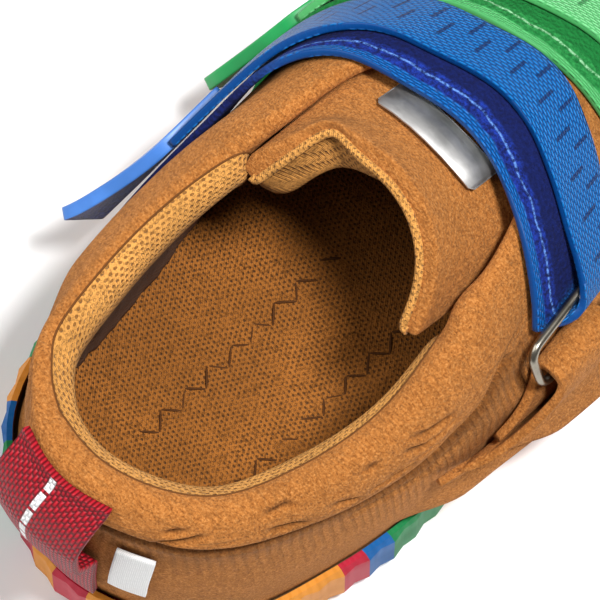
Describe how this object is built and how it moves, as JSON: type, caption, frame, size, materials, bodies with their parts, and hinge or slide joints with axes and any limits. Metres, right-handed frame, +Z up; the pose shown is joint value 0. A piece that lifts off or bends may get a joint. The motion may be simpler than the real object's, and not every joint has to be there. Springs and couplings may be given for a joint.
{
  "type": "first walker shoe",
  "caption": "Toddler's first walker shoe with a hollow suede upper, padded collar, tongue, webbing straps through metal rings, heel pull loop and ribbed cup sole.",
  "frame": {"origin": "bottom centre of the shoe's bounding box, on the floor the sole stands on", "axes": "+Y towards the toe, +Z up, +X towards the medial side of this left shoe"},
  "size_m": [0.0756, 0.1484, 0.0665],
  "materials": {
    "outsole": "matt rubber in blocks of orange, red, blue and green",
    "insole": "brown knit mesh",
    "upper": "tan suede with a light knit lining",
    "tongue": "tan suede with a knit rim",
    "strap_top": "blue webbing over navy pile",
    "strap_top_tab": "smooth moulded rubbery plastic",
    "ring_top": "antique nickel",
    "keeper_top": "tan suede",
    "strap_front": "light green webbing",
    "strap_front_tab": "smooth moulded rubbery plastic",
    "ring_front": "antique nickel",
    "keeper_front": "tan suede",
    "pull_loop": "red basket-weave webbing with pale reflective dashes",
    "heel_label": "bare woven label",
    "badge": "bare brushed plate"
  },
  "bodies": {
    "root": {"outsole": "outsole", "insole": "insole", "upper": "upper", "tongue": "tongue", "strap_top": "strap_top", "strap_top_tab": "strap_top_tab", "ring_top": "ring_top", "keeper_top": "keeper_top", "strap_front": "strap_front", "strap_front_tab": "strap_front_tab", "ring_front": "ring_front", "keeper_front": "keeper_front", "pull_loop": "pull_loop", "heel_label": "heel_label", "badge": "badge"}
  },
  "joints": []
}
